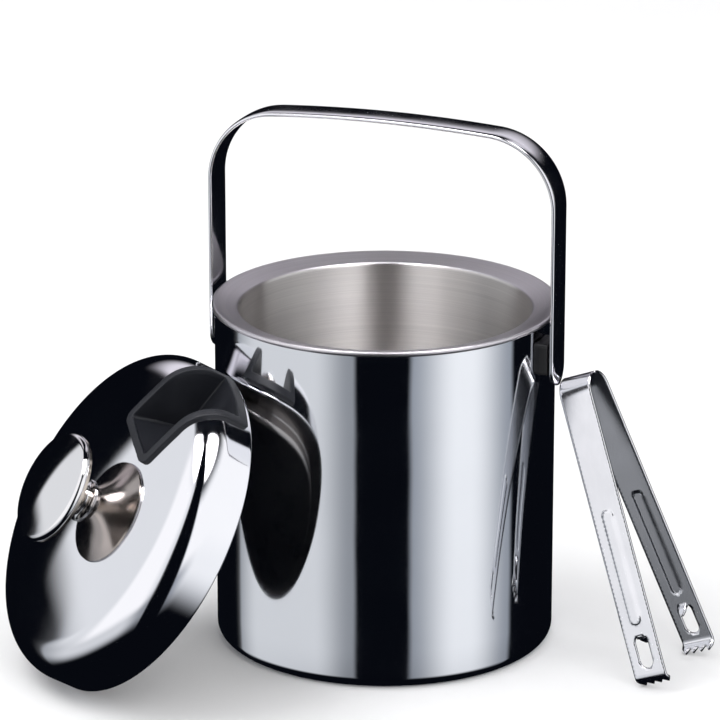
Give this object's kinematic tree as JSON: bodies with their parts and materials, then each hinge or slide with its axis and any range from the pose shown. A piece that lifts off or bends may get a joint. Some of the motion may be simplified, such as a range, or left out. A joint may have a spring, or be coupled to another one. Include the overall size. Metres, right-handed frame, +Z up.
{
  "type": "ice bucket",
  "caption": "Round double-walled steel ice bucket with a swinging strap bail; its domed lid with knob and tongs pocket, and its sprung tongs, lean against it.",
  "frame": {"origin": "centre of the bucket's flat underside, on the surface it stands on", "axes": "+Z up along the bucket's axis; X along the bail's pivot axis, +X towards the tongs; -Y is the side that the lid leans towards"},
  "size_m": [0.2803, 0.2138, 0.222],
  "materials": {
    "mirror_steel": "mirror-polished stainless steel",
    "brushed_steel": "brushed round the bowl, satin lip",
    "satin_steel": "satin stainless steel",
    "bail_steel": "polished stainless strap",
    "tongs_steel": "polished spring steel",
    "screw_steel": "plain steel",
    "black_plastic": "black moulded plastic",
    "pocket_plastic": "charcoal moulded plastic",
    "nylon": "black nylon"
  },
  "bodies": {
    "bucket": {"outer_shell": "mirror_steel", "inner_liner": "brushed_steel", "base_plate": "satin_steel", "pivot_block_left": "black_plastic", "pivot_block_right": "black_plastic", "block_screws_left": "screw_steel", "block_screws_right": "screw_steel"},
    "bail": {"bail_strap": "bail_steel", "pivot_pin_left": "screw_steel", "pivot_pin_right": "screw_steel", "pivot_washer_left": "nylon", "pivot_washer_right": "nylon"},
    "lid": {"lid_dome": "mirror_steel", "lid_pan": "satin_steel", "tongs_pocket": "pocket_plastic", "knob_base": "mirror_steel", "knob_neck": "screw_steel", "knob_shell": "mirror_steel", "knob_cap": "mirror_steel", "knob_nut": "screw_steel", "knob_washer": "screw_steel", "knob_screw": "screw_steel"},
    "tongs": {"tongs_near_arm": "tongs_steel"},
    "tongs_moving_arm": {"tongs_far_arm": "tongs_steel"}
  },
  "joints": [
    {"name": "bail_swing", "type": "hinge", "parent": "bucket", "child": "bail", "pos_m": [0, 0, 0.128], "axis": [1, 0, 0], "range_deg": [-125, 75]},
    {"name": "lid_carry", "type": "slide", "parent": "bucket", "child": "lid", "axis": [-0.6947, -0.7193, 0], "range_m": [0, 0.12]},
    {"name": "tongs_carry", "type": "slide", "parent": "bucket", "child": "tongs", "axis": [0.9903, -0.1392, 0], "range_m": [0, 0.08]},
    {"name": "tongs_squeeze", "type": "hinge", "parent": "tongs", "child": "tongs_moving_arm", "pos_m": [0.08357, 0.00245, 0.11952], "axis": [-0.9194, 0.1292, -0.3714], "range_deg": [0, 16], "stiffness_Nm_per_rad": 1}
  ]
}
